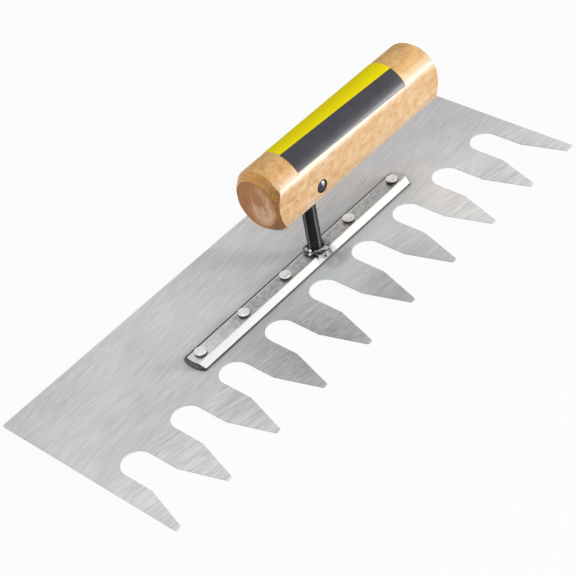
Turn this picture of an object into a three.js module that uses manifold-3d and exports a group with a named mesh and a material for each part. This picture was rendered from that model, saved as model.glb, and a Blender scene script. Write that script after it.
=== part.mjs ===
// Hand trowel for spreading adhesive. A thin steel blade has deep round-bottomed notches in its front
// edge, which leave long tapered teeth. A bevelled steel bar is riveted along the blade, a round post
// is welded onto the bar, and a wooden grip with two planed sides is pinned to the post.
// Millimetres, +Z up. The origin is the middle of the blade's underside. +X runs along the blade
// towards the far end of the grip, and the teeth point to -Y.
import * as THREE from "three";
import { mergeVertices } from "three/addons/utils/BufferGeometryUtils.js";
import Module from "manifold-3d";

const wasm = await Module();
wasm.setup();

// Fits shared by several pieces
const fitGap = 0.3; // all round between a piece and the hole or seat that is cut for it
const overrun = 2; // how far a cutter runs past the face that it opens

// Facets
const smallFacets = 24; // full turn of a rivet, the pin or the post
const gripFacets = 64; // full turn of the grip
const arcSteps = 10; // half turn of a notch's root, and an end of the bar
const cornerSteps = 3; // a rounded corner of the blade
const crownSteps = 4; // from the rim of a domed head to its middle
const weldBeadFacets = 6; // each bead of the weld

// Blade
const bladeWidth = 111; // from the back edge to the tips of the teeth
const bladeThickness = 0.8;
const bladeCornerRadius = 1.2; // the two corners of the back edge
const toothCount = 10;
const toothPitch = 32.75;
const toothTipWidth = 2.6;
const toothTipRadius = 0.8;
const toothTaper = 24.2; // length of the part of a tooth that narrows
const nearEndLand = 1.85; // from the middle line of the near end tooth to the blade's near end
const farEndLand = 3.4; // the same at the far end
const notchWidth = 15.5;
const notchDepth = 48.6;

// Bar along the blade
const barBehindNotches = 4.7; // from the roots of the notches to the bar
const barWidth = 13.9;
const barHeight = 3.8;
const barBevelRun = 3.2; // how much narrower the top is on each side
const barEdgeLand = 1.35; // upright strip below each bevel
const barEndBulge = 1.7; // how far the ends curve out
const barEndMarginNear = 6.7; // from the last rivet to the bar's near end
const barEndMarginFar = 7.8; // the same at the far end

// Rivets: domed heads on the bar, tails closed flush in the blade's underside
const rivetDiameter = 4;
const rivetHeadOverhang = 1; // how much further out than the shank the head reaches
const rivetHeadEdge = 1.6; // height of the upright side of the head
const rivetHeadDome = 0.5; // height of the dome above that side
const rivetTailFlare = 1; // how much the closed tail widens
const rivetBeforePost = 23.6; // from the post to the next rivet on the near side
const rivetPastPost = 25; // the same on the far side
const rivetPitchNear = 30.6;
const rivetPitchFar = 35.1;
const rivetsNear = 3;
const rivetsFar = 2;

// Post
const postPastMiddle = 17; // from the middle of the blade to the post
const postDiameter = 7.4;
const postBehindBarLine = 0.55; // welded a little nearer the back edge than the bar's middle line
const postChamfer = 0.8;
const postPastPin = 8; // how far the post runs on above the cross pin
const postHoleSpare = 1.2; // room above the post in its blind hole

// Weld round the foot of the post, a ring of beads run together
const weldReach = 3.1; // how far it spreads from the post
const weldHeight = 2.2;
const weldBeads = 9;
const weldSwellShare = 0.14; // how much each bead swells and shrinks

// Grip: a turned stick with two planed sides
const fingerRoom = 33.4; // between the bar's top and the grip
const gripLength = 121.8;
const gripDiameter = 33.5;
const gripPlaned = 3.85; // how much is planed off each side
const gripRidgeRadius = 4.5; // where a planed side meets the round
const gripBeforePost = 31; // from the grip's near end to the post
const gripEndBevelLength = 3.7; // along the grip
const gripEndBevelDepth = 4; // towards its axis

// Cross pin through the grip and the post
const pinDiameter = 3;
const pinBelowAxis = 4.8;
const pinBeforePost = 0.8; // drilled a little off the post's axis
const pinHeadOverhang = 1.5;
const pinHeadSeat = 0.9; // depth of the recess in the planed side
const pinHeadDome = 0.5;

// Label: a film round the top of the grip
const labelLength = 79.5;
const labelFromNearEnd = 17.4;
const labelFromRidge = 0.5; // bare wood between the film and each ridge
const labelThickness = 0.25;
const labelSteps = 18;

// Sizes and places that follow
const bladeLength = (toothCount - 1) * toothPitch + nearEndLand + farEndLand;
const bladeEndX = bladeLength / 2;
const backEdgeY = bladeWidth / 2;
const tipY = -backEdgeY;
const toothX = (index) => nearEndLand - bladeEndX + index * toothPitch;
const notchRadius = notchWidth / 2;

const barY = tipY + notchDepth + barBehindNotches + barWidth / 2;
const postX = postPastMiddle;
const rivetXs = [
  ...Array.from({ length: rivetsNear }, (_, i) => postX - rivetBeforePost - i * rivetPitchNear).reverse(),
  ...Array.from({ length: rivetsFar }, (_, i) => postX + rivetPastPost + i * rivetPitchFar),
];
const barNearX = Math.min(...rivetXs) - barEndMarginNear;
const barFarX = Math.max(...rivetXs) + barEndMarginFar;

const rivetRadius = rivetDiameter / 2;
const rivetTailRadius = rivetRadius + rivetTailFlare;
const postRadius = postDiameter / 2;
const pinRadius = pinDiameter / 2;
const pinHeadRadius = pinRadius + pinHeadOverhang;

const gripRadius = gripDiameter / 2;
const gripSide = gripRadius - gripPlaned; // from the axis to a planed side
const gripAxisHeight = fingerRoom + gripRadius; // above the bar's top
const pinHeight = gripAxisHeight - pinBelowAxis;
const postHeight = pinHeight + postPastPin;

// The ridge is an arc about [ridgeY, ridgeZ] from the planed side to the angle ridgeTurn on the round.
const ridgeY = gripSide - gripRidgeRadius;
const ridgeZ = Math.sqrt((gripRadius - gripRidgeRadius) ** 2 - ridgeY ** 2);
const ridgeTurn = Math.atan2(ridgeZ, ridgeY);

// Lathes turn about their own Y, and extrusions run along their own Z.
const X = new THREE.Vector3(1, 0, 0);
const Y = new THREE.Vector3(0, 1, 0);
const Z = new THREE.Vector3(0, 0, 1);
const latheAboutX = new THREE.Matrix4().makeBasis(Y, X, Z.clone().negate());
const latheAboutY = new THREE.Matrix4();
const latheAboutZ = new THREE.Matrix4().makeBasis(X, Z, Y.clone().negate());
const sectionAlongX = new THREE.Matrix4().makeBasis(Y, Z, X);

// A closed geometry as a solid that can be cut.
function solidOf(geometry) {
  const bare = geometry.index ? geometry.toNonIndexed() : geometry.clone();
  bare.deleteAttribute("normal");
  bare.deleteAttribute("uv");
  const merged = mergeVertices(bare);
  return new wasm.Manifold(
    new wasm.Mesh({
      numProp: 3,
      vertProperties: merged.attributes.position.array,
      triVerts: new Uint32Array(merged.index.array),
    }),
  );
}

// A solid's surface as a geometry with flat facets.
function geometryOf(solid) {
  const mesh = solid.getMesh();
  const geometry = new THREE.BufferGeometry();
  geometry.setAttribute("position", new THREE.BufferAttribute(mesh.vertProperties, 3));
  geometry.setIndex(new THREE.BufferAttribute(mesh.triVerts, 1));
  const faceted = geometry.toNonIndexed();
  faceted.computeVertexNormals();
  return faceted;
}

// A profile of [radius, place along the axis] pairs, turned about the axis.
function turned(profile, facets, placement) {
  const points = profile.map(([radius, along]) => new THREE.Vector2(radius, along));
  return new THREE.LatheGeometry(points, facets).applyMatrix4(placement);
}

// A round rod between two places along its axis.
function rod(radius, from, to, placement) {
  const profile = [
    [0, from],
    [radius, from],
    [radius, to],
    [0, to],
  ];
  return turned(profile, smallFacets, placement);
}

// The profile of a dome, from its rim up to its middle.
function dome(radius, from, height) {
  return Array.from({ length: crownSteps + 1 }, (_, i) => {
    const angle = ((Math.PI / 2) * i) / crownSteps;
    return [i < crownSteps ? radius * Math.cos(angle) : 0, from + height * Math.sin(angle)];
  });
}

// A section in the YZ plane, drawn out along X.
function alongX(points, from, to) {
  const shape = new THREE.Shape(points);
  return new THREE.ExtrudeGeometry(shape, { depth: to - from, bevelEnabled: false })
    .applyMatrix4(sectionAlongX)
    .translate(from, 0, 0);
}

// Points of an arc about a centre.
function arc(centreU, centreV, radius, from, to, steps) {
  return Array.from({ length: steps + 1 }, (_, i) => {
    const angle = from + ((to - from) * i) / steps;
    return new THREE.Vector2(centreU + radius * Math.cos(angle), centreV + radius * Math.sin(angle));
  });
}

// A corner of an outline, rounded by an arc that touches both of its sides.
function roundedCorner(before, corner, after, radius) {
  const back = before.clone().sub(corner);
  const on = after.clone().sub(corner);
  const shorter = Math.min(back.length(), on.length());
  back.normalize();
  on.normalize();
  const half = Math.acos(back.dot(on)) / 2;
  const reach = Math.min(radius / Math.tan(half), shorter / 2);
  const fillet = reach * Math.tan(half);
  const centre = back.clone().add(on).setLength(fillet / Math.sin(half)).add(corner);
  const start = back.multiplyScalar(reach).add(corner).sub(centre).angle();
  const end = on.multiplyScalar(reach).add(corner).sub(centre).angle();
  const turn = Math.atan2(Math.sin(end - start), Math.cos(end - start));
  return arc(centre.x, centre.y, fillet, start, start + turn, cornerSteps);
}

// One notch between two teeth, from the near tooth's tip to the far tooth's tip.
function notchCorners(index) {
  const middle = (toothX(index) + toothX(index + 1)) / 2;
  const mouth = (toothPitch - toothTipWidth) / 2;
  const taperY = tipY + toothTaper;
  return [
    new THREE.Vector2(middle - mouth, tipY),
    new THREE.Vector2(middle - notchRadius, taperY),
    ...arc(middle, tipY + notchDepth - notchRadius, notchRadius, Math.PI, 0, arcSteps),
    new THREE.Vector2(middle + notchRadius, taperY),
    new THREE.Vector2(middle + mouth, tipY),
  ];
}

function bladeOutline() {
  const corners = [
    new THREE.Vector2(-bladeEndX, tipY),
    ...Array.from({ length: toothCount - 1 }, (_, i) => notchCorners(i)).flat(),
    new THREE.Vector2(bladeEndX, tipY),
    new THREE.Vector2(bladeEndX, backEdgeY),
    new THREE.Vector2(-bladeEndX, backEdgeY),
  ];
  const radiusAt = (corner) => {
    if (corner.y === tipY) return toothTipRadius;
    return corner.y === backEdgeY ? bladeCornerRadius : 0;
  };
  return corners.flatMap((corner, i) => {
    const radius = radiusAt(corner);
    if (radius === 0) return [corner];
    const before = corners.at(i - 1);
    const after = corners[(i + 1) % corners.length];
    return roundedCorner(before, corner, after, radius);
  });
}

// The blade: its underside lies at height zero.
function makeBlade() {
  const plate = new THREE.ExtrudeGeometry(new THREE.Shape(bladeOutline()), {
    depth: bladeThickness,
    bevelEnabled: false,
  });
  const holeProfile = [
    [0, -overrun],
    [rivetTailRadius + fitGap, -overrun],
    [rivetTailRadius + fitGap, 0],
    [rivetRadius + fitGap, bladeThickness],
    [rivetRadius + fitGap, bladeThickness + overrun],
    [0, bladeThickness + overrun],
  ];
  const hole = turned(holeProfile, smallFacets, latheAboutZ);
  const holes = rivetXs.map((x) => solidOf(hole.clone().translate(x, barY, 0)));
  return geometryOf(holes.reduce((solid, cutter) => solid.subtract(cutter), solidOf(plate)));
}

// The bar's section about the middle of its foot, or the room that a neighbour leaves round it.
function barSection(room) {
  const foot = barWidth / 2 + room;
  const top = barWidth / 2 - barBevelRun + room / 2;
  return [
    new THREE.Vector2(-foot, -room),
    new THREE.Vector2(foot, -room),
    new THREE.Vector2(foot, barEdgeLand),
    new THREE.Vector2(top, barHeight + room),
    new THREE.Vector2(-top, barHeight + room),
    new THREE.Vector2(-foot, barEdgeLand),
  ];
}

// The bar in plan: straight sides and bulging ends.
function barPlan() {
  const half = barWidth / 2;
  const endRadius = (half * half + barEndBulge * barEndBulge) / (2 * barEndBulge);
  const swing = Math.asin(half / endRadius);
  return new THREE.Shape([
    ...arc(barFarX - endRadius, 0, endRadius, -swing, swing, arcSteps),
    ...arc(barNearX + endRadius, 0, endRadius, Math.PI - swing, Math.PI + swing, arcSteps),
  ]);
}

// The bar: its foot lies at height zero.
function makeBar() {
  const stock = alongX(barSection(0), barNearX - overrun, barFarX + overrun);
  const plan = new THREE.ExtrudeGeometry(barPlan(), { depth: barHeight + 2 * overrun, bevelEnabled: false });
  const hole = rod(rivetRadius + fitGap, -overrun, barHeight + overrun, latheAboutZ);
  const holes = rivetXs.map((x) => solidOf(hole.clone().translate(x, 0, 0)));
  const bar = solidOf(stock).intersect(solidOf(plan.translate(0, 0, -overrun)));
  return geometryOf(holes.reduce((solid, cutter) => solid.subtract(cutter), bar));
}

// A rivet: height zero is where the bar meets the blade.
function makeRivet() {
  const headRadius = rivetRadius + rivetHeadOverhang;
  const profile = [
    [0, -bladeThickness],
    [rivetTailRadius, -bladeThickness],
    [rivetRadius, 0],
    [rivetRadius, barHeight],
    [headRadius, barHeight],
    ...dome(headRadius, barHeight + rivetHeadEdge, rivetHeadDome),
  ];
  return turned(profile, smallFacets, latheAboutZ);
}

// The pin's clearance hole, about its own middle.
function pinHole() {
  const reach = gripSide + overrun;
  return rod(pinRadius + fitGap, -reach, reach, latheAboutY);
}

// The post: its foot stands at height zero.
function makePost() {
  const profile = [
    [0, 0],
    [postRadius, 0],
    [postRadius, postHeight - postChamfer],
    [postRadius - postChamfer, postHeight],
    [0, postHeight],
  ];
  const post = solidOf(turned(profile, smallFacets, latheAboutZ));
  return geometryOf(post.subtract(solidOf(pinHole().translate(-pinBeforePost, 0, pinHeight))));
}

// The weld: a ring that swells into beads, with a skirt that hangs over the bar's bevels.
function makeWeld() {
  const inner = postRadius + fitGap;
  const outer = inner + weldReach;
  const skirt = fitGap - barHeight;
  const crown = dome(weldReach, 0, weldHeight).map(([radius, along]) => [inner + radius, along]);
  const profile = [[inner, skirt], [outer, skirt], ...crown, [inner, skirt]];
  const ring = turned(profile, weldBeads * weldBeadFacets, latheAboutZ);
  const place = ring.attributes.position;
  const point = new THREE.Vector3();
  for (let i = 0; i < place.count; i++) {
    point.fromBufferAttribute(place, i);
    const radius = Math.hypot(point.x, point.y);
    const swell = 1 + weldSwellShare * Math.cos(weldBeads * Math.atan2(point.y, point.x));
    const swollen = (inner + (radius - inner) * swell) / radius;
    place.setXYZ(i, point.x * swollen, point.y * swollen, point.z > 0 ? point.z * swell : point.z);
  }
  const barRoom = alongX(barSection(fitGap), barNearX - postX, barFarX - postX);
  barRoom.translate(0, -postBehindBarLine, -barHeight);
  return geometryOf(solidOf(ring).subtract(solidOf(barRoom)));
}

// Half of the grip's section, on one side of its middle plane: ridge, planed side, ridge, round.
function gripSectionHalf(side) {
  const turn = side > 0 ? 0 : Math.PI;
  const roundSteps = Math.round((gripFacets * (Math.PI - 2 * ridgeTurn)) / (2 * Math.PI));
  const from = turn + ridgeTurn;
  const to = turn + Math.PI - ridgeTurn;
  return [
    ...arc(side * ridgeY, -side * ridgeZ, gripRidgeRadius, turn - ridgeTurn, turn, crownSteps),
    ...arc(side * ridgeY, side * ridgeZ, gripRidgeRadius, turn, turn + ridgeTurn, crownSteps),
    ...arc(0, 0, gripRadius, from, to, roundSteps).slice(1, -1),
  ];
}

// The grip: its axis is X, and it starts at its near end. The stick's facets just enclose the round of
// the section, so the section alone shapes it between the end bevels.
function makeGrip() {
  const lathed = gripRadius / Math.cos(Math.PI / gripFacets);
  const face = lathed - gripEndBevelDepth;
  const profile = [
    [0, 0],
    [face, 0],
    [lathed, gripEndBevelLength],
    [lathed, gripLength - gripEndBevelLength],
    [face, gripLength],
    [0, gripLength],
  ];
  const section = [...gripSectionHalf(1), ...gripSectionHalf(-1)];
  const planed = alongX(section, -overrun, gripLength + overrun);
  const postHole = rod(postRadius + fitGap, 0, postHeight + postHoleSpare, latheAboutZ);
  const recess = rod(pinHeadRadius + fitGap, gripSide - pinHeadSeat, gripSide + overrun, latheAboutY);
  const cutters = [
    postHole.translate(gripBeforePost, 0, -gripAxisHeight),
    ...[pinHole(), recess, recess.clone().rotateX(Math.PI)].map((cutter) =>
      cutter.translate(gripBeforePost - pinBeforePost, 0, -pinBelowAxis),
    ),
  ];
  const stick = solidOf(turned(profile, gripFacets, latheAboutX)).intersect(solidOf(planed));
  return geometryOf(cutters.reduce((solid, cutter) => solid.subtract(solidOf(cutter)), stick));
}

// The pin: a shank with a low domed head in the recess at each end.
function makePin() {
  const seat = gripSide - pinHeadSeat;
  const crown = dome(pinHeadRadius, gripSide - pinHeadDome, pinHeadDome);
  const farEnd = [[pinRadius, seat], [pinHeadRadius, seat], ...crown];
  const nearEnd = farEnd.map(([radius, along]) => [radius, -along]).reverse();
  return turned([...nearEnd, ...farEnd], smallFacets, latheAboutY);
}

// The label: a strip of film bent round the grip, just clear of the wood.
function makeLabel() {
  const inner = gripRadius + fitGap;
  const from = ridgeTurn + labelFromRidge / gripRadius;
  const to = Math.PI - from;
  const strip = [
    ...arc(0, 0, inner, from, to, labelSteps),
    ...arc(0, 0, inner + labelThickness, to, from, labelSteps),
  ];
  return alongX(strip, labelFromNearEnd, labelFromNearEnd + labelLength);
}

// Materials
const brushedSteel = new THREE.MeshStandardMaterial({ color: 0xb9babb, roughness: 0.42, metalness: 1 });
const plainSteel = new THREE.MeshStandardMaterial({ color: 0xd4d6d8, roughness: 0.28, metalness: 1 });
const blackPaint = new THREE.MeshStandardMaterial({ color: 0x202123, roughness: 0.4, metalness: 0 });
const darkSteel = new THREE.MeshStandardMaterial({ color: 0x4a4a4c, roughness: 0.35, metalness: 1 });
const weldMetal = new THREE.MeshStandardMaterial({ color: 0x8f9092, roughness: 0.35, metalness: 1 });
const varnishedWood = new THREE.MeshStandardMaterial({ color: 0xd9aa63, roughness: 0.35, metalness: 0 });
const film = new THREE.MeshStandardMaterial({ color: 0x3d3d42, roughness: 0.25, metalness: 0 });

function addMesh(group, name, geometry, material) {
  const mesh = new THREE.Mesh(geometry, material);
  mesh.name = name;
  group.add(mesh);
  return mesh;
}

const trowel = new THREE.Group();
addMesh(trowel, "blade", makeBlade(), brushedSteel);

const spine = new THREE.Group();
spine.position.set(0, barY, bladeThickness);
trowel.add(spine);
addMesh(spine, "backing_bar", makeBar(), plainSteel);
rivetXs.forEach((x, i) => {
  addMesh(spine, `rivet_${i + 1}`, makeRivet(), plainSteel).position.set(x, 0, 0);
});

const stem = new THREE.Group();
stem.position.set(postX, postBehindBarLine, barHeight);
spine.add(stem);
addMesh(stem, "post", makePost(), blackPaint);
addMesh(stem, "weld_bead", makeWeld(), weldMetal);

const handle = new THREE.Group();
handle.position.set(-gripBeforePost, 0, gripAxisHeight);
stem.add(handle);
addMesh(handle, "handle_grip", makeGrip(), varnishedWood);
addMesh(handle, "handle_pin", makePin(), darkSteel).position.set(
  gripBeforePost - pinBeforePost,
  0,
  -pinBelowAxis,
);
addMesh(handle, "label", makeLabel(), film);

export default trowel;
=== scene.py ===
import math

import bmesh
import bpy
from bpy.props import FloatProperty, FloatVectorProperty, IntProperty, PointerProperty
from bpy.types import Operator, Panel, PropertyGroup
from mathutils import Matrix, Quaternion, Vector


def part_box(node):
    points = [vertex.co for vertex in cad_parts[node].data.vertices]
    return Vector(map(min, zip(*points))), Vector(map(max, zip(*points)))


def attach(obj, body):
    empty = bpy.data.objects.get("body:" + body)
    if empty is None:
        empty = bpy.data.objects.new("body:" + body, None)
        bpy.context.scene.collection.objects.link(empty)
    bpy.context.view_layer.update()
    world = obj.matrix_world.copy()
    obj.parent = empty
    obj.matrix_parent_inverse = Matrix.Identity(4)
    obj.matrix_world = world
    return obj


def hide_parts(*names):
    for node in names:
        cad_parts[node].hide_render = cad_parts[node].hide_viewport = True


bl_info = {
    "name": "Notched trowel",
    "version": (1, 0, 0),
    "blender": (4, 5, 0),
    "location": "3D View > Sidebar > Trowel",
    "description": "A notched trowel on its CAD frame: blade, riveted bar, welded post and wooden grip",
    "category": "Add Mesh",
}

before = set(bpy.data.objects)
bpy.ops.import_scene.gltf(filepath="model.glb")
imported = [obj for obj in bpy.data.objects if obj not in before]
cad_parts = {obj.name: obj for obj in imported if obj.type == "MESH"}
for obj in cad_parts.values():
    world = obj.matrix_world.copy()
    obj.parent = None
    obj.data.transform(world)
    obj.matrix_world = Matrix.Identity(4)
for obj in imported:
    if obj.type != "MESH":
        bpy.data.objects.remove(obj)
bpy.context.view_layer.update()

MM = 0.001
HAIR = 0.002 * MM  # two places nearer than this are the same
OVERRUN = 2 * MM  # how far a cutter runs past the face that it opens
FINE_TURN = 96  # facets of a notch, the grip and other wide rounds
SMALL_TURN = 48  # facets of a rivet, the pin and the post
ALONG_X = (0, math.radians(90), 0)  # turns an upright round along the grip
ALONG_Y = (math.radians(90), 0, 0)  # turns it across the grip
FLAT = (1, 1, 0)  # reckons distances in plan
OBLONG = (0.7, 1, 0)  # the same, for a patch that is longer along the blade
DOME_SWING = math.radians(78)  # how far round a dome's outline climbs
RIVETS = ("rivet_1", "rivet_2", "rivet_3", "rivet_4", "rivet_5")


# Properties


def length(name, description, millimetres):
    """A size in the unit of the scene."""
    return FloatProperty(
        name=name, description=description, default=millimetres * MM, unit="LENGTH", precision=5
    )


def angle(name, description, degrees):
    """An angle, kept in radians."""
    return FloatProperty(
        name=name, description=description, default=math.radians(degrees), subtype="ANGLE"
    )


def share(name, description, default):
    """A part of a whole."""
    return FloatProperty(
        name=name, description=description, default=default, min=0, max=1, subtype="FACTOR"
    )


def power(name, description, watts):
    """The power of a lamp."""
    return FloatProperty(name=name, description=description, default=watts, unit="POWER")


def colour(name, description, red, green, blue):
    """A colour in linear light."""
    return FloatVectorProperty(
        name=name, description=description, default=(red, green, blue), size=3, min=0, max=1, subtype="COLOR"
    )


class BladeSizes(PropertyGroup):
    tooth_count: IntProperty(name="Teeth", description="How many teeth the blade has", default=10, min=2)
    tooth_pitch: length("Tooth pitch", "From one tooth to the next", 32.75)
    tip_width: length("Tip width", "Across the flat tip of a tooth", 2.6)
    tip_round: length("Tip round", "How far along its sides a tip's corner is rounded", 0.6)
    tooth_taper: length("Taper", "Length of the part of a tooth that narrows", 24.2)
    near_land: length("End land", "From the first tooth's middle line to the blade's end", 1.85)
    notch_width: length("Notch width", "Between two teeth, above their taper", 15.5)
    notch_depth: length("Notch depth", "From the tips of the teeth to the root of a notch", 48.6)
    back_corner: length("Back corner", "Radius of the two corners of the back edge", 1.2)
    edge_round: length("Edge round", "How far the sheared edges are broken", 0.12)


class BarSizes(PropertyGroup):
    edge_land: length("Edge land", "Height of the upright strip below each bevel", 1.35)
    bevel_run: length("Bevel run", "How much narrower the top is on each side", 3.2)
    end_bulge: length("End bulge", "How far the sheared ends curve out", 1.7)
    edge_round: length("Edge round", "Radius of the bar's long edges", 0.3)
    end_roll: length("End roll", "How far the shears rolled the top edge of each end over", 0.9)
    hole_gap: length("Hole gap", "Round a rivet in its hole", 0.3)
    shank_radius: length("Shank radius", "Of a rivet between its head and its tail", 2)
    head_radius: length("Head radius", "Of a rivet's head", 3)
    head_foot: share("Head foot", "Width of a head where it sits on the bar, against its full width", 0.93)
    head_edge: length("Head edge", "Height of the upright side of a rivet's head", 1.6)
    head_dome: length("Head dome", "Height of the dome above that side", 0.5)
    dent_width: length("Dent width", "Of the marks that the hammer left on a head", 1.1)
    dent_depth: length("Dent depth", "Of those marks", 0.12)
    head_turn: angle("Head turn", "From one rivet to the next, so that no two look alike", math.degrees(1.1))


class PostSizes(PropertyGroup):
    chamfer: length("Chamfer", "At the top of the post", 0.8)
    foot_flare: length("Foot flare", "How much the foot swells into the weld", 0.1)
    weld_ring: length("Weld ring", "Radius of the ring that the beads stand on", 4.9)
    weld_bead: length("Weld bead", "Radius of a middling bead", 1.5)
    weld_grain: length("Weld grain", "How finely the beads are run together", 0.16)
    ripple_width: length("Ripple width", "Of the weld's skin", 0.9)
    ripple_depth: length("Ripple depth", "Of the weld's skin", 0.25)


class GripSizes(PropertyGroup):
    radius: length("Grip radius", "Of the turned stick", 16.75)
    ridge_round: length("Ridge round", "Where a planed side meets the round", 4.5)
    sanded_from: length("Sanded from", "How far above the grip's axis a planed side's sanding begins", 6.5)
    sanded_to: length("Sanded to", "How far above the axis it is at its deepest", 11.3)
    sanded_depth: length("Sanded depth", "How deep the shading of the sanded ridges is", 1.05)
    bevel_length: length("End bevel length", "Along the grip", 3.7)
    bevel_depth: length("End bevel depth", "Towards the grip's axis", 3.4)
    sawn_half: length("Sawn half width", "Half the width of a sawn end", 12.53)
    sawn_shift: length("Sawn shift", "How far a sawn end is off the grip's middle", 0.83)
    crest_round: length("Crest round", "How far the shoulders of the end bevels are rubbed round", 1.2)
    rim_round: length("Rim round", "How far the rims of the end faces are rubbed round", 0.25)
    face_rim: length("Face rim", "Width of the level rim round each end face", 0.2)
    face_slope: length("Face slope", "Width of the slope inside that rim", 0.35)
    face_sink: length("Face sink", "How far the saw left the middle of each end face lower", 0.25)
    post_gap: length("Post gap", "Round the post in its hole", 0.3)
    pin_shank: length("Pin shank", "Radius of the cross pin", 1.5)
    pin_head: length("Pin head", "Radius of its heads", 3)
    pin_gap: length("Pin gap", "Round a head in its recess", 0.45)
    pin_seat: length("Pin seat", "Depth of the recess for a head", 0.9)
    pin_edge: length("Pin edge", "Height of the upright side of a head", 0.35)
    pin_dome: length("Pin dome", "Height of a head's dome", 1)
    label_thickness: length("Label thickness", "Of the printed film", 0.12)
    label_gap: length("Label gap", "Of glue below the film", 0.03)
    label_near_turn: angle("Label near turn", "Round the front ridge, where the film's near corner lies", 38)
    label_far_turn: angle("Label far turn", "Round the front ridge, where the film's far corner lies", 13)
    label_skew: share("Label skew", "How much further along the film's near edge lies at the back", 0.098)
    border_near: angle("Border near", "Round the grip, where the label's two bands meet at its near edge", 88)
    border_far: angle("Border far", "Round the grip, where they meet at its far edge", 78)


class FinishColours(PropertyGroup):
    blade_light: colour("Blade light", "Brushed steel between its lines", 0.88, 0.883, 0.888)
    blade_dark: colour("Blade dark", "Brushed steel in its lines", 0.515, 0.518, 0.525)
    # A cool tint painted against the grip's warm reflection.
    painted_cool_tint: colour("Blade cool", "Steel that the warm grip shades", 0.6, 0.82, 1.0)
    # Also painted shade: along the bar's foot on the blade, and on the lower sides of the rivet heads.
    grime_and_shade: colour("Grime", "Dirt and soot on steel", 0.05, 0.05, 0.05)
    bar_light: colour("Bar light", "Drawn steel of the bar", 0.74, 0.74, 0.74)
    bar_dark: colour("Bar dark", "Pits and lines of the bar", 0.21, 0.21, 0.21)
    bevel_steel: colour("Bevel steel", "Planed bevels of the bar", 0.68, 0.68, 0.68)
    # Also painted shade on the bar's upright edges and rear bevel.
    sheared_end_and_shade: colour("Sheared end", "Dull ends and edges of the bar", 0.11, 0.11, 0.11)
    rivet_metal: colour("Rivet metal", "Hammered rivet heads", 0.86, 0.86, 0.86)
    post_paint: colour("Post paint", "Black paint of the post", 0.006, 0.006, 0.007)
    weld_metal: colour("Weld metal", "Bright tops of the beads", 0.95, 0.95, 0.95)
    weld_soot: colour("Weld soot", "Between the beads", 0.015, 0.015, 0.015)
    pin_metal: colour("Pin metal", "Dark steel of the cross pin", 0.045, 0.047, 0.058)
    # Paler than the rounds, partly a painted sheen.
    wood_side: colour("Wood side", "Varnished wood of the planed sides", 0.80, 0.60, 0.36)
    wood_round: colour("Wood round", "Varnished wood of the turned round", 0.95, 0.63, 0.25)
    wood_dark: colour("Wood dark", "Its darker figure", 0.56, 0.27, 0.085)
    wood_pore: colour("Wood pore", "Pores and specks", 0.22, 0.10, 0.03)
    band_wood: colour("Band wood", "The turned bevel at each end", 0.84, 0.41, 0.105)
    # Also darkens the bevels towards the front and below.
    band_dark: colour("Band dark", "Its darker fibre", 0.28, 0.115, 0.014)
    end_light: colour("End light", "Dry middle of the end grain", 0.77, 0.50, 0.32)
    end_dark: colour("End dark", "Varnish soaked into the end grain", 0.45, 0.195, 0.075)
    # Painted shade: the drilled wood is coloured nearly black.
    bore_shade: colour("Bore light", "Drilled wood in the holes", 0.03, 0.017, 0.008)
    bore_deep_shade: colour("Bore dark", "Stains on it", 0.008, 0.005, 0.003)
    film_yellow: colour("Film yellow", "Upper band of the label", 0.95, 0.81, 0.003)
    film_charcoal: colour("Film charcoal", "Lower band of the label", 0.036, 0.035, 0.043)
    floor: colour("Floor", "Where light falls on it", 0.85, 0.85, 0.85)


class StageSettings(PropertyGroup):
    azimuth: angle("Azimuth", "Of the camera, from the side of the teeth", -41.825)
    elevation: angle("Elevation", "Of the camera above the floor", 41.798)
    roll: angle("Roll", "Of the camera about its own line of sight", -11.468)
    distance: length("Distance", "From the camera to its aim", 815.252)
    aim_x: length("Aim X", "Where the camera looks, along the blade", -9.347)
    aim_y: length("Aim Y", "Where the camera looks, across the blade", 1.627)
    aim_z: length("Aim Z", "Where the camera looks, above the floor", 0.8)
    lens: FloatProperty(
        name="Lens", description="Focal length on a 36 mm sensor", default=105.783, unit="CAMERA"
    )
    sky: share("Sky", "How strongly the pale surroundings light the object", 0.52)
    own_white: share("Own white", "How much of the floor's white is its own, and not the light on it", 0.9)
    key_power: power("Key power", "Of the softbox in front", 9)
    left_power: power("Left power", "Of the softbox at the left", 4)


# Modelling by hand


def where(node):
    """The lowest and the highest corner of a CAD node, and its middle."""
    low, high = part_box(node)
    return low, high, (low + high) / 2


def mm(x, y, z):
    """A step in millimetres."""
    return Vector((x * MM, y * MM, z * MM))


def start(name, add, **size_and_place):
    """Adds a primitive at its size and place, and puts its place in its mesh."""
    bpy.ops.object.select_all(action="DESELECT")
    add(**size_and_place)
    piece = bpy.context.object
    piece.name = name
    piece.data.name = name
    bpy.ops.object.transform_apply(location=True, rotation=True, scale=True)
    return piece


def choose(piece):
    """Selects one piece alone."""
    bpy.ops.object.select_all(action="DESELECT")
    bpy.context.view_layer.objects.active = piece
    piece.select_set(True)


def open_piece(piece):
    choose(piece)
    bpy.ops.object.mode_set(mode="EDIT")


def close_piece():
    bpy.ops.object.mode_set(mode="OBJECT")


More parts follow.
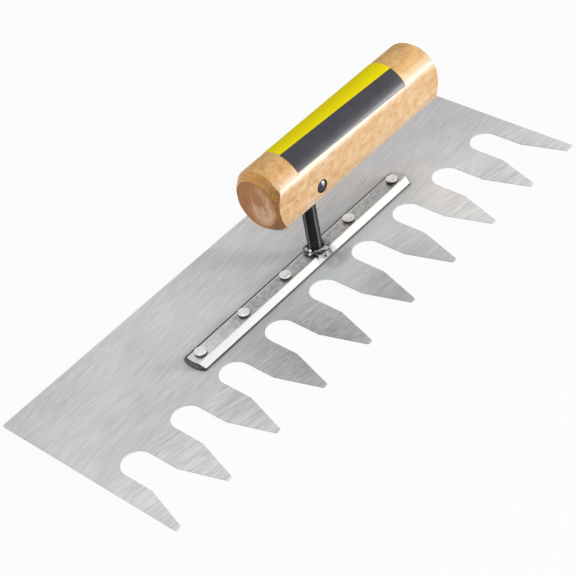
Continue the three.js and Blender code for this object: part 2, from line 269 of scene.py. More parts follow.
def pick(kind, test):
    """Selects corners, edges or faces by place and facing; an edge faces as both its faces do."""
    bpy.ops.mesh.select_mode(type=kind)
    pick_all("DESELECT")
    mesh = bmesh.from_edit_mesh(bpy.context.edit_object.data)
    if kind == "VERT":
        found = [(v, v.co, v.normal) for v in mesh.verts]
    elif kind == "EDGE":
        found = [
            (e, (e.verts[0].co + e.verts[1].co) / 2, [f.normal for f in e.link_faces]) for e in mesh.edges
        ]
    else:
        found = [(f, f.calc_center_median(), f.normal) for f in mesh.faces]
    chosen = [item for item, at, facing in found if test(at, facing)]
    if not chosen:
        raise RuntimeError(f"{bpy.context.edit_object.name} has nothing of this kind to select")
    for item in chosen:
        item.select_set(True)
    mesh.select_flush_mode()
    bmesh.update_edit_mesh(bpy.context.edit_object.data)


def pick_all(action="SELECT"):
    bpy.ops.mesh.select_all(action=action)


def same(value, target, hairs=1):
    return abs(value - target) < hairs * HAIR


def extrude(x=0.0, y=0.0, z=0.0):
    bpy.ops.mesh.extrude_region_move(TRANSFORM_OT_translate={"value": (x, y, z)})


def resize(x, y, z, about):
    bpy.ops.transform.resize(value=(x, y, z), center_override=about)


def slice_through(at, facing, **clear):
    """Cuts the whole open piece along a plane."""
    pick_all()
    bpy.ops.mesh.bisect(plane_co=at, plane_no=facing, threshold=HAIR / 4, **clear)


def round_off(offset, segments, affect="EDGES"):
    bpy.ops.mesh.bevel(offset=offset, segments=segments, affect=affect, clamp_overlap=True)


def merge_doubles(distance):
    pick_all()
    bpy.ops.mesh.remove_doubles(threshold=distance)
    pick_all()


def face_outwards():
    merge_doubles(HAIR / 4)
    bpy.ops.mesh.normals_make_consistent(inside=False)


def add_dome(centre, outwards, radius, height, steps=4):
    """Raises the selected round face into a dome; centre is the face's middle."""
    outwards = Vector(outwards)
    reached = Vector(centre)
    wide = radius
    risen = 0.0
    for step in range(1, steps + 1):
        swing = DOME_SWING * step / steps
        rise = height * math.sin(swing) - risen
        narrower = radius * math.cos(swing) / wide
        extrude(*(outwards * rise))
        reached += outwards * rise
        resize(*(1 if part else narrower for part in outwards), about=reached)
        wide *= narrower
        risen += rise


def apply_modifier(piece, kind, **settings):
    """Adds a modifier and applies it."""
    choose(piece)
    modifier = piece.modifiers.new(kind.lower(), kind)
    for name, value in settings.items():
        setattr(modifier, name, value)
    bpy.ops.object.modifier_apply(modifier=modifier.name)


def combine(piece, other, operation):
    """Cuts or trims a piece by another, which is used up and leaves its material on the cut."""
    apply_modifier(
        piece, "BOOLEAN", object=other, operation=operation, solver="EXACT", material_mode="TRANSFER"
    )
    bpy.data.objects.remove(other)


def roughen(piece, name, width, depth, **settings):
    """Gives a surface soft bumps of a width and a depth."""
    cloud = bpy.data.textures.new(name, "CLOUDS")
    cloud.noise_scale = width
    cloud.noise_depth = 1
    apply_modifier(piece, "DISPLACE", texture=cloud, texture_coords="LOCAL", strength=depth, **settings)


def duplicate(piece, name):
    """A copy of a piece, with its own mesh."""
    choose(piece)
    bpy.ops.object.duplicate(linked=False)
    copy = bpy.context.object
    copy.name = name
    copy.data.name = name
    return copy


def dress(piece, finish, *others):
    """Gives a piece its finish, and another finish to the faces that each further test picks."""
    materials = piece.data.materials
    materials.clear()
    materials.append(bpy.data.materials[finish])
    for name, test in others:
        if name not in materials:
            materials.append(bpy.data.materials[name])
        open_piece(piece)
        pick("FACE", test)
        piece.active_material_index = materials.find(name)
        bpy.ops.object.material_slot_assign()
        close_piece()


def smooth(piece, degrees):
    choose(piece)
    bpy.ops.object.shade_smooth_by_angle(angle=math.radians(degrees))


def place(piece, slot, *nodes):
    """Fixes a finished piece to the frame in the place of its CAD nodes."""
    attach(piece, "root")
    if nodes:
        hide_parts(*nodes)


# Node trees


class Signal:
    """The output of a node, which is added and multiplied like a number."""

    def __init__(self, nodes, socket):
        self.nodes = nodes
        self.socket = socket

    def __add__(self, other):
        return self.nodes.maths("ADD", self, other)

    def __sub__(self, other):
        return self.nodes.maths("SUBTRACT", self, other)

    def __mul__(self, other):
        return self.nodes.maths("MULTIPLY", self, other)

    def __abs__(self):
        return self.nodes.maths("ABSOLUTE", self)

    def spread(self, low, high, to_low=0.0, to_high=1.0, **settings):
        """Maps a range onto another, with no overshoot."""
        inputs = {"Value": self, "From Min": low, "From Max": high, "To Min": to_low, "To Max": to_high}
        return self.nodes.make("ShaderNodeMapRange", inputs, clamp=True, **settings)

    def over(self, low, high, to_low=0.0, to_high=1.0):
        """The same for a place along a line, with the first range in millimetres."""
        return self.spread(low * MM, high * MM, to_low, to_high)


class Nodes:
    """Adds nodes to a tree. An input takes a value or a signal."""

    def __init__(self, tree):
        self.tree = tree

    def add(self, kind, inputs=(), **settings):
        node = self.tree.nodes.new(kind)
        for name, value in settings.items():
            setattr(node, name, value)
        for name, value in dict(inputs).items():
            self.feed(node.inputs[name], value)
        return node

    def make(self, kind, inputs=(), output=0, **settings):
        """Adds a node for one of its outputs."""
        return Signal(self, self.add(kind, inputs, **settings).outputs[output])

    def feed(self, socket, value):
        if isinstance(value, Signal):
            self.tree.links.new(value.socket, socket)
        elif socket.type == "RGBA":
            socket.default_value = (*value, 1.0)
        else:
            socket.default_value = value

    def maths(self, operation, *values):
        return self.make("ShaderNodeMath", enumerate(values), operation=operation)

    def most(self, first, *others):
        """The greatest of some numbers."""
        for other in others:
            first = self.maths("MAXIMUM", first, other)
        return first

    def blend(self, factor, first, second):
        """A colour between two, by a factor."""
        inputs = {0: factor, 6: first, 7: second}
        return self.make("ShaderNodeMix", inputs, output=2, data_type="RGBA", clamp_factor=True)

    def place(self, centre=(0, 0, 0), turn=(0, 0, 0), scale=(1, 1, 1)):
        """Object coordinates from a centre, turned and scaled."""
        coordinates = self.make("ShaderNodeTexCoord", output="Object")
        moved = {"Vector": coordinates, "Location": [-part for part in centre]}
        turned = {"Vector": self.make("ShaderNodeMapping", moved), "Rotation": turn, "Scale": scale}
        return self.make("ShaderNodeMapping", turned)

    def here(self, centre=(0, 0, 0), **turn_and_scale):
        """The three parts of a place."""
        parts = self.add("ShaderNodeSeparateXYZ", {"Vector": self.place(centre, **turn_and_scale)}).outputs
        return [Signal(self, part) for part in parts]

    def distance(self, centre, scale=(1, 1, 1)):
        inputs = {0: self.place(centre, scale=scale)}
        return self.make("ShaderNodeVectorMath", inputs, output="Value", operation="LENGTH")

    def spot(self, centre, inner, outer, strength=1.0, rest=0.0, scale=(1, 1, 1)):
        """A strength up to so many millimetres from a centre, which fades into the rest further out."""
        return self.distance(centre, scale).over(inner, outer, strength, rest)

    def noise(self, vector, scale, detail=2.0, roughness=0.5):
        inputs = {"Vector": vector, "Scale": scale, "Detail": detail, "Roughness": roughness}
        return self.make("ShaderNodeTexNoise", inputs)

    def bump(self, height, millimetres, strength=1.0):
        inputs = {"Height": height, "Distance": millimetres * MM, "Strength": strength}
        return self.make("ShaderNodeBump", inputs)

    def effect(self, name, **inputs):
        """The outputs of a shared effect, with its own values here."""
        node = self.add("ShaderNodeGroup", inputs, node_tree=bpy.data.node_groups[name])
        return {output.name: Signal(self, output) for output in node.outputs}

    def brushed(self, Along, Across, Patch, degrees):
        return self.effect("Brush lines", Along=Along, Across=Across, Patch=Patch, Turn=math.radians(degrees))

    def handled(self, Smudge, Speck):
        """The smudges and the specks of a handled surface."""
        return self.effect("Handling", Smudge=Smudge, Speck=Speck).values()

    def grown(self, Figure, Fibre, Pores):
        return self.effect("Wood grain", Figure=Figure, Fibre=Fibre, Pores=Pores)


def new_effect(name, inputs, outputs):
    """A shader node group whose inputs and outputs are numbers."""
    tree = bpy.data.node_groups.new(name, "ShaderNodeTree")
    for key, value in inputs.items():
        tree.interface.new_socket(key, in_out="INPUT", socket_type="NodeSocketFloat").default_value = value
    for key in outputs:
        tree.interface.new_socket(key, in_out="OUTPUT", socket_type="NodeSocketFloat")
    nodes = Nodes(tree)
    given = nodes.add("NodeGroupInput").outputs
    return nodes, {key: Signal(nodes, given[key]) for key in inputs}, nodes.add("NodeGroupOutput").inputs


class Finish(Nodes):
    """A material with a plain shader, whose constant values are set on its own sockets."""

    def __init__(self, name, **constants):
        if name in bpy.data.materials:
            raise RuntimeError(f"there is a finish named {name} already")
        material = bpy.data.materials.new(name)
        material.use_nodes = True
        material.node_tree.nodes.clear()
        super().__init__(material.node_tree)
        shader = self.add("ShaderNodeBsdfPrincipled")
        self.surface = shader.inputs
        for key, value in constants.items():
            self.feed(self.surface[key.replace("_", " ").title().replace("Ior", "IOR")], value)
        self.add("ShaderNodeOutputMaterial", {"Surface": Signal(self, shader.outputs[0])})

    def cover(self, colour, mark, sleek, rough, normal=None, coat=None):
        """Sets the colour, a roughness that runs from sleek to rough with a mark, the bump and the coat."""
        self.feed(self.surface["Base Color"], colour)
        self.feed(self.surface["Roughness"], mark.spread(0, 1, sleek, rough))
        if normal:
            self.feed(self.surface["Normal"], normal)
        if coat:
            self.feed(self.surface["Coat Weight"], coat)
            self.feed(self.surface["Coat Normal"], normal)

    def sanded(self, unevenness):
        """The bump of the grip's sanded ridges, with a finer unevenness."""
        sizes = bpy.context.scene.trowel_grip
        middle = where("handle_grip")[2].z
        fall = self.effect("Sanding", Middle=middle, Flat=sizes.sanded_from, Round=sizes.sanded_to)["Height"]
        return self.bump(fall + unevenness, sizes.sanded_depth / MM)


def shade(colour, factor):
    """A colour made darker or lighter."""
    return [min(1.0, part * factor) for part in colour]


# Shared effects


def make_brush_lines():
    """Lines drawn along the trowel or a little across it, with broad uneven patches."""
    nodes, inputs, outputs = new_effect(
        "Brush lines",
        {"Along": 80.0, "Across": 900.0, "Patch": 22.0, "Turn": 0.0},
        ("Lines", "Hair", "Patches"),
    )
    scale = nodes.make("ShaderNodeCombineXYZ", {0: inputs["Along"], 1: inputs["Across"], 2: inputs["Across"]})
    here = nodes.place()
    turned = {"Vector": here, "Angle": inputs["Turn"]}
    turned = nodes.make("ShaderNodeVectorRotate", turned, rotation_type="Z_AXIS")
    drawn = nodes.make("ShaderNodeVectorMath", {0: turned, 1: scale}, operation="MULTIPLY")
    nodes.feed(outputs["Lines"], nodes.noise(drawn, scale=1.0, detail=3.0, roughness=0.6).spread(0.28, 0.72))
    nodes.feed(outputs["Hair"], nodes.noise(drawn, scale=3.3, detail=1.0).spread(0.25, 0.75))
    nodes.feed(outputs["Patches"], nodes.noise(here, inputs["Patch"]).spread(0.3, 0.7))


def make_sanding():
    """How far the planed sides fall away towards the ridges, where the wood was sanded."""
    nodes, inputs, outputs = new_effect(
        "Sanding", {"Middle": 0.0, "Flat": 0.006, "Round": 0.011}, ("Height",)
    )
    off = abs(nodes.here()[2] - inputs["Middle"])
    fall = off.spread(inputs["Flat"], inputs["Round"], 1.0, 0.0, interpolation_type="SMOOTHSTEP")
    nodes.feed(outputs["Height"], fall)


def make_handling():
    """Marks of use: soft smudges and small hard specks."""
    nodes, inputs, outputs = new_effect(
        "Handling", {"Smudge": 120.0, "Speck": 900.0}, ("Smudges", "Specks")
    )
    here = nodes.place()
    soft = nodes.noise(here, inputs["Smudge"], detail=3.0, roughness=0.55)
    nodes.feed(outputs["Smudges"], soft.spread(0.3, 0.7))
    nodes.feed(outputs["Specks"], nodes.noise(here, inputs["Speck"], detail=1.0).spread(0.62, 0.72))


def make_wood():
    """Grain of a stick along the trowel: cloudy figure, slanting streaks, fine fibre and short pores."""
    nodes, inputs, outputs = new_effect(
        "Wood grain",
        {"Figure": 26.0, "Fibre": 420.0, "Pores": 0.66},
        ("Figure", "Slant", "Fibre", "Pores"),
    )
    clouds = nodes.noise(nodes.place(scale=(0.5, 1, 1)), inputs["Figure"], detail=3.0, roughness=0.55)
    nodes.feed(outputs["Figure"], clouds.spread(0.34, 0.66))
    slanting = nodes.place(turn=(0, math.radians(-52), 0), scale=(1, 1, 0.12))
    streaks = nodes.noise(slanting, scale=260.0, detail=3.0, roughness=0.6)
    nodes.feed(outputs["Slant"], streaks.spread(0.42, 0.68))
    drawn = nodes.place(scale=(0.12, 1, 1))
    fibre = nodes.noise(drawn, inputs["Fibre"], detail=3.0, roughness=0.6)
    nodes.feed(outputs["Fibre"], fibre.spread(0.3, 0.7))
    short = nodes.noise(nodes.place(scale=(0.36, 1, 1)), scale=900.0, detail=1.0)
    nodes.feed(outputs["Pores"], short.spread(inputs["Pores"], inputs["Pores"] + 0.1))


# Finishes


def brushed_steel(colours):
    """The blade: steel brushed along its length, with painted contact shade along the bar's foot, a painted
    cool tint before the grip, two darker patches on the teeth, and soot before the weld.
    """
    low, high, middle = where("backing_bar")
    foot = Vector((where("post")[2].x, low.y, 0))
    nodes = Finish("brushed_steel", metallic=0.3, specular_tint=(0.1, 0.1, 0.1), specular_ior_level=0.25)
    body = nodes.brushed(Along=80.0, Across=900.0, Patch=16.0, degrees=-5)
    teeth = nodes.brushed(Along=75.0, Across=700.0, Patch=16.0, degrees=11)
    smudges, _ = nodes.handled(Smudge=190.0, Speck=900.0)
    x, y, _ = nodes.here(middle + mm(0, 0.2, 0))
    toothed = y.over(-24, -12, 1.0, 0.0)
    lines = toothed.spread(0, 1, 0.6, 0.0) * body["Lines"] + toothed * teeth["Lines"]
    steel = nodes.blend(lines * 0.7 + body["Patches"] * 0.3, colours.blade_dark, colours.blade_light)
    # A cool tint painted before the grip, against the grip's warm reflection in the blade.
    shaded = nodes.spot(foot + mm(4.3, -14, 0), 12, 48, strength=0.2, scale=OBLONG)
    steel = nodes.blend(shaded, steel, colours.painted_cool_tint)
    # Painted contact shade lies along the bar's outline, whose ends are curved.
    half = (high - low) / 2 + mm(0.2, 0.3, 0)
    curve = y * y * (bpy.context.scene.trowel_bar.end_bulge / half.y**2)
    beside = nodes.most(abs(x) + curve - half.x, abs(y) - half.y)
    grime_and_shade = beside.over(0.0, 0.3, 0.6, 0.0) * body["Hair"].spread(0, 1, 0.6, 1.0)
    # Two darker patches on the teeth: one in front of the post, one further towards the near end.
    darker_patch = nodes.spot(foot + mm(4, -42, 0), 8, 36, strength=0.36, scale=OBLONG)
    tone_shift = nodes.spot(foot + mm(-48, -34, 0), 8, 48, strength=0.45, scale=(0.8, 1, 0))
    tone_shift *= teeth["Hair"].spread(0.25, 0.75, 0.72, 1.28)
    soot = nodes.spot(foot + mm(4, -3, 0), 1, 9, strength=0.55, scale=(0.75, 1, 0))
    soot *= smudges.spread(0, 1, 0.3, 1.0)
    steel = nodes.blend(nodes.most(grime_and_shade, darker_patch, tone_shift, soot), steel, colours.grime_and_shade)
    normal = nodes.bump(body["Hair"], millimetres=0.01, strength=0.35)
    nodes.cover(steel, body["Hair"], sleek=0.6, rough=0.7, normal=normal)


def drawn_steel(colours):
    """The bar's top: drawn strip with fine lines, pits and dirt, a painted highlight along the rear crest,
    lighter towards the near end, darker further along, and soot round the weld.
    """
    low, high, _ = where("backing_bar")
    post = where("post")[2]
    crest = high.y - bpy.context.scene.trowel_bar.bevel_run
    nodes = Finish("drawn_steel", metallic=0.9)
    smudges, specks = nodes.handled(Smudge=520.0, Speck=1300.0)
    lines = nodes.brushed(Along=260.0, Across=1300.0, Patch=90.0, degrees=6)["Lines"]
    tone = lines * 0.45 + smudges * 0.55
    x, y, _ = nodes.here((low.x, crest, 0))
    soot = nodes.spot(post, 6.2, 9.2, scale=FLAT) * smudges.spread(0, 0.8, 0.6, 1.0)
    # Pits, soot round the weld, and darker further along the bar.
    dirt_and_fade = nodes.most(specks * 0.6, soot, x.over(10, 40, 0.0, 0.19))
    # Painted highlight: a pale line along the rear crest, broken round the weld; the top is also lighter
    # towards the near end.
    rubbed = y.over(-0.6, -0.25, 0.0, 0.9) * nodes.spot(post, 6, 9, strength=0.0, rest=1.0, scale=FLAT)
    rubbed = nodes.most(rubbed, x.over(8, 36, 0.6, 0.0))
    metal = nodes.blend(dirt_and_fade, nodes.blend(tone, colours.bar_dark, colours.bar_light), colours.grime_and_shade)
    metal = nodes.blend(rubbed, metal, colours.bevel_steel)
    normal = nodes.bump(tone, millimetres=0.05, strength=0.4)
    nodes.cover(metal, smudges, sleek=0.34, rough=0.46, normal=normal)


def planed_steel(colours):
    """The bar's bevels: pale planed steel, a little streaked, and sooty round the weld."""
    foot = Vector((where("post")[2].x, where("backing_bar")[0].y, 0))
    nodes = Finish("planed_steel", metallic=0.5)
    lines = nodes.brushed(Along=120.0, Across=900.0, Patch=120.0, degrees=0)
    smudges, _ = nodes.handled(Smudge=400.0, Speck=1500.0)
    streaks = lines["Lines"] * smudges.spread(0, 1, 0.1, 0.3)
    steel = nodes.blend(streaks, colours.bevel_steel, colours.bar_light)
    soot = nodes.spot(foot + mm(0.5, 0, 0), 3, 7.5, strength=0.85, scale=(1, 0, 0))
    soot *= smudges.spread(0.1, 0.8, 0.25, 1.0)
    steel = nodes.blend(soot, steel, colours.grime_and_shade)
    normal = nodes.bump(lines["Hair"], millimetres=0.01, strength=0.3)
    nodes.cover(steel, lines["Hair"], sleek=0.45, rough=0.55, normal=normal)


def dull_steel(colours):
    """The bar's sheared ends, its upright edges and its rear bevel: rough and dark, lighter in the middle of
    each end and further along; on the edges and the rear bevel the dark is painted shade.
    """
    low, high, middle = where("backing_bar")
    long = (high.x - low.x) / MM
    half = (high - low) / 2
    nodes = Finish("sheared_steel_and_shade", metallic=0.5)
    smudges, _ = nodes.handled(Smudge=600.0, Speck=2200.0)
    x = nodes.here(low)[0]
    lighter_along = x.over(5, long, 0.0, 0.75) * x.over(long - 4, long - 3, 1.0, 0.0)
    # The dark colour is painted shade on the upright edges and the rear bevel.
    torn_and_shade = nodes.blend(smudges, shade(colours.sheared_end_and_shade, 0.4), colours.sheared_end_and_shade)
    face = nodes.distance(middle, (0, 1, half.y / half.z))
    oval = face.spread(half.y * 0.5, half.y * 0.85, 0.85, 0.0) * smudges.spread(0, 0.6, 0.5, 1.0)
    steel = nodes.blend(lighter_along, nodes.blend(oval, torn_and_shade, colours.bar_dark), colours.bar_dark)
    normal = nodes.bump(smudges, millimetres=0.2, strength=0.8)
    nodes.cover(steel, smudges, sleek=0.5, rough=0.75, normal=normal)


def hammered_metal(colours):
    """The rivets: bright heads with the facets that the hammer left, and painted shade on the lower part of
    each head's side.
    """
    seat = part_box("backing_bar")[1].z
    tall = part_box(RIVETS[0])[1].z - seat
    nodes = Finish("hammered_metal", metallic=0.8)
    facets = {"Vector": nodes.place(), "Scale": 750.0}
    facets = nodes.make("ShaderNodeTexVoronoi", facets, "Distance", feature="SMOOTH_F1")
    smudges, _ = nodes.handled(Smudge=600.0, Speck=1800.0)
    metal = nodes.blend(smudges, shade(colours.rivet_metal, 0.72), colours.rivet_metal)
    # Painted shade: the lower part of each head's side is darkened.
    z = nodes.here((0, 0, seat))[2]
    metal = nodes.blend(z.spread(tall * 0.5, tall * 0.72), colours.grime_and_shade, metal)
    normal = nodes.bump(facets, millimetres=0.25, strength=0.5)
    nodes.cover(metal, smudges, sleek=0.36, rough=0.5, normal=normal)


def black_paint(colours):
    """The post: black paint with drips, specks of wear that are most near the weld, and two painted highlight
    stripes down its sides.
    """
    low, _, middle = where("post")
    nodes = Finish("painted_steel", metallic=0.0, specular_ior_level=0.16)
    smudges, specks = nodes.handled(Smudge=260.0, Speck=1500.0)
    drips = nodes.noise(nodes.place(scale=(1, 1, 0.08)), scale=900.0)
    x, y, z = nodes.here((middle.x, middle.y, low.z), scale=(-1, -1, 1))
    tone_shift = specks * z.over(3, 12, 0.5, 0.1)
    turn = nodes.maths("ARCTAN2", y, x)
    # Two painted highlight stripes run down the post at set turns round it.
    for at, half, strength in ((-4, 16, 0.9), (84, 12, 0.75)):
        highlight_stripe = abs(turn - math.radians(at))
        highlight_stripe = highlight_stripe.spread(math.radians(half * 0.35), math.radians(half), strength, 0.0)
        tone_shift = nodes.most(tone_shift, highlight_stripe * drips.spread(0.35, 0.6, 0.45, 1.0))
    paint = nodes.blend(tone_shift, colours.post_paint, shade(colours.bar_light, 0.3))
    normal = nodes.bump(drips, millimetres=0.06, strength=0.4)
    nodes.cover(paint, smudges, sleek=0.24, rough=0.34, normal=normal)


def weld_metal(colours):
    """The weld: bright metal on some of the beads, soot and grey between them."""
    nodes = Finish("welded_steel", metallic=0.85)
    smudges, _ = nodes.handled(Smudge=620.0, Speck=1500.0)
    bright = 0.0
    for turn, out, width, rise, _, rubbed in TROWEL_OT_weld.beads:
        if rubbed:
            radius = bpy.context.scene.trowel_post.weld_bead * width
            near = nodes.distance(bead_place(turn, out, rise) + Vector((0, 0, radius * 0.35)))
            bright = nodes.most(bright, near.spread(0.6 * radius, 1.2 * radius, rubbed, 0.0))
    scaly = nodes.blend(smudges.spread(0.35, 0.75), colours.weld_soot, shade(colours.weld_metal, 0.16))
    metal = nodes.blend(bright * smudges.spread(0.1, 0.35, 0.35, 1.0), scaly, colours.weld_metal)
    normal = nodes.bump(smudges, millimetres=0.15, strength=0.5)
    nodes.cover(metal, bright, sleek=0.5, rough=0.32, normal=normal)


def dark_steel(colours):
    """The cross pin: dark steel with smudges and a painted highlight on its near head."""
    low, _, middle = where("handle_pin")
    nodes = Finish("blued_steel", metallic=1.0)
    smudges, _ = nodes.handled(Smudge=500.0, Speck=1700.0)
    metal = nodes.blend(smudges, colours.pin_metal, shade(colours.pin_metal, 2.2))
    # A painted highlight on the near head, above and along from its middle.
    painted_highlight = nodes.spot(Vector((middle.x, low.y, middle.z)) + mm(0.7, 0, 1.3), 0.4, 1.5)
    metal = nodes.blend(painted_highlight * smudges.spread(0, 0.6, 0.6, 1.0), metal, colours.rivet_metal)
    normal = nodes.bump(smudges, millimetres=0.05, strength=0.5)
    nodes.cover(metal, smudges, sleek=0.24, rough=0.36, normal=normal)


def varnished_wood(colours):
    """The grip's long surfaces under clear varnish; the planed sides are paler than the rounds, partly their
    own tone and partly a painted sheen.
    """
    nodes = Finish(
        "varnished_stick", metallic=0.0, specular_ior_level=0.0, coat_roughness=0.46, coat_ior=2.45
    )
    grain = nodes.grown(Figure=34.0, Fibre=420.0, Pores=0.6)
    smudges, _ = nodes.handled(Smudge=330.0, Speck=620.0)
    x, y, z = nodes.here(where("handle_grip")[2])
    planed = abs(y).over(9.5, 12.6)
    slant = grain["Slant"] * abs(x - 14 * MM).over(12, 36, 0.7, 0.14) * planed
    cloudy = grain["Figure"] * 0.22 + smudges * 0.5 + grain["Fibre"] * 0.3 + x.over(-61, -40, 0.12, 0.0)
    # The planed sides' paler colour is partly a painted sheen.
    wood = nodes.blend(planed, colours.wood_round, colours.wood_side)
    wood = nodes.blend(nodes.most(slant, cloudy), wood, colours.wood_dark)
    pores = grain["Pores"] * x.over(-60, 0, 0.55, 0.28) * smudges.spread(0.35, 0.8, 0.15, 1.0)
    wood = nodes.blend(pores, wood, colours.wood_pore)
    ridges = nodes.maths("MINIMUM", abs(z).over(6, 9.5, 0.3, 1.0), abs(z).over(12.5, 15.5, 1.0, 0.25))
    coat = ridges * y.over(0, 8, 1.0, 0.5)
    normal = nodes.sanded(grain["Fibre"] * 0.006)
    nodes.cover(wood, grain["Fibre"], sleek=0.36, rough=0.5, normal=normal, coat=coat)


def band_wood(colours):
    """The turned bevels: thin varnish over cut fibre, darker than the sides."""
    nodes = Finish(
        "turned_bevel",
        metallic=0.0,
        specular_ior_level=0.25,
        coat_weight=0.5,
        coat_roughness=0.25,
        coat_ior=1.5,
    )
    grain = nodes.grown(Figure=90.0, Fibre=700.0, Pores=0.62)
    _, y, z = nodes.here(where("handle_grip")[2])
    # Darker towards the front, most of all at its lower part.
    under = y.over(-9, -2, 0.8, 0.0) * z.over(-12, -4, 1.0, 0.0)
    darker = grain["Fibre"] * 0.45 + y.over(-12.5, 1, 0.7, 0.05) + under
    wood = nodes.blend(darker, colours.band_wood, colours.band_dark)
    wood = nodes.blend(grain["Pores"] * 0.4, wood, colours.wood_pore)
    normal = nodes.bump(grain["Fibre"], millimetres=0.04, strength=0.4)
    nodes.cover(wood, grain["Fibre"], sleek=0.4, rough=0.55, normal=normal)


def end_grain(colours):
    """The grip's ends: rough end grain, dry in the middle and soaked with varnish towards the rim."""
    sizes = bpy.context.scene.trowel_grip
    axis = where("handle_grip")[2]
    nodes = Finish("cut_end", metallic=0.0, specular_ior_level=0.2)
    drawn = nodes.place(turn=(math.radians(22), 0, 0), scale=(1, 1, 0.3))
    cloud = nodes.noise(drawn, scale=330.0, detail=4.0, roughness=0.62)
    cloudy = cloud * 0.6 + nodes.noise(nodes.place(), scale=130.0) * 0.4
    inside = nodes.spot(axis + mm(0, -2.5, -2), 5, 10.5, rest=0.1, scale=(0, 1, 0.72))
    wood = nodes.blend(cloudy.spread(0.42, 0.57, 0.1, 1.0) * inside, colours.end_dark, colours.end_light)
    wider = (sizes.radius - sizes.bevel_depth) / sizes.sawn_half
    sawn = axis + Vector((0, sizes.sawn_shift, 0))
    # A dark line round the rim of each end face, darker towards the front.
    rim = nodes.spot(sawn, 12.0, 12.6, strength=0.0, rest=1.0, scale=(0, wider, 1))
    edge = rim * nodes.here(axis)[1].over(-11, 0, 0.85, 0.25)
    pores = nodes.grown(Figure=120.0, Fibre=900.0, Pores=0.6)["Pores"]
    dark_rim_and_pores = nodes.most(edge, pores * 0.3)
    wood = nodes.blend(dark_rim_and_pores, wood, colours.wood_pore)
    normal = nodes.bump(cloud, millimetres=0.5, strength=0.5)
    nodes.cover(wood, cloud.spread(0.3, 0.7), sleek=0.5, rough=0.75, normal=normal)


def shaded_bore(colours):
    """Inside the holes for the post and the pin: painted shade, nearly black, with smudges."""
    nodes = Finish("shaded_bore_wood", metallic=0.0, specular_ior_level=0.2)
    smudges, _ = nodes.handled(Smudge=700.0, Speck=2200.0)
    wood = nodes.blend(smudges, colours.bore_deep_shade, colours.bore_shade)
    nodes.cover(wood, smudges, sleek=0.6, rough=0.8)


def printed_film(colours):
    """The label: two plain bands under gloss film."""
    sizes = bpy.context.scene.trowel_grip
    low, high, _ = where("label")
    axis = where("handle_grip")[2]
    nodes = Finish("label_print", metallic=0.0, specular_ior_level=0.0, coat_roughness=0.46, coat_ior=1.85)
    smudges, _ = nodes.handled(Smudge=150.0, Speck=2600.0)
    x, y, z = nodes.here((low.x, axis.y, axis.z))
    turn = nodes.maths("ARCTAN2", z, y * -1.0)
    border = x.spread(0, high.x - low.x, sizes.border_near, sizes.border_far)
    upper = (turn - border).spread(-0.004, 0.004)
    charcoal = nodes.blend(smudges, colours.film_charcoal, shade(colours.film_charcoal, 1.5))
    film = nodes.blend(upper, charcoal, colours.film_yellow)
    coat = z.over(11, 14.5, 1.0, 0.35) * upper.spread(0, 1, 1.0, 0.25)
    normal = nodes.sanded(smudges * 0.014)
    nodes.cover(film, smudges, sleek=0.34, rough=0.44, normal=normal, coat=coat)


class TROWEL_OT_finishes(Operator):
    """Makes the shared effects and the finish of every piece"""

    bl_idname = "trowel.finishes"
    bl_label = "Finishes"

    def execute(self, context):
        for make in (make_brush_lines, make_handling, make_sanding, make_wood):
            make()
        for finish in (
            brushed_steel,
            drawn_steel,
            planed_steel,
            dull_steel,
            hammered_metal,
            black_paint,
            weld_metal,
            dark_steel,
            varnished_wood,
            band_wood,
            end_grain,
            shaded_bore,
            printed_film,
        ):
            finish(context.scene.trowel_colours)
        return {"FINISHED"}


# Pieces


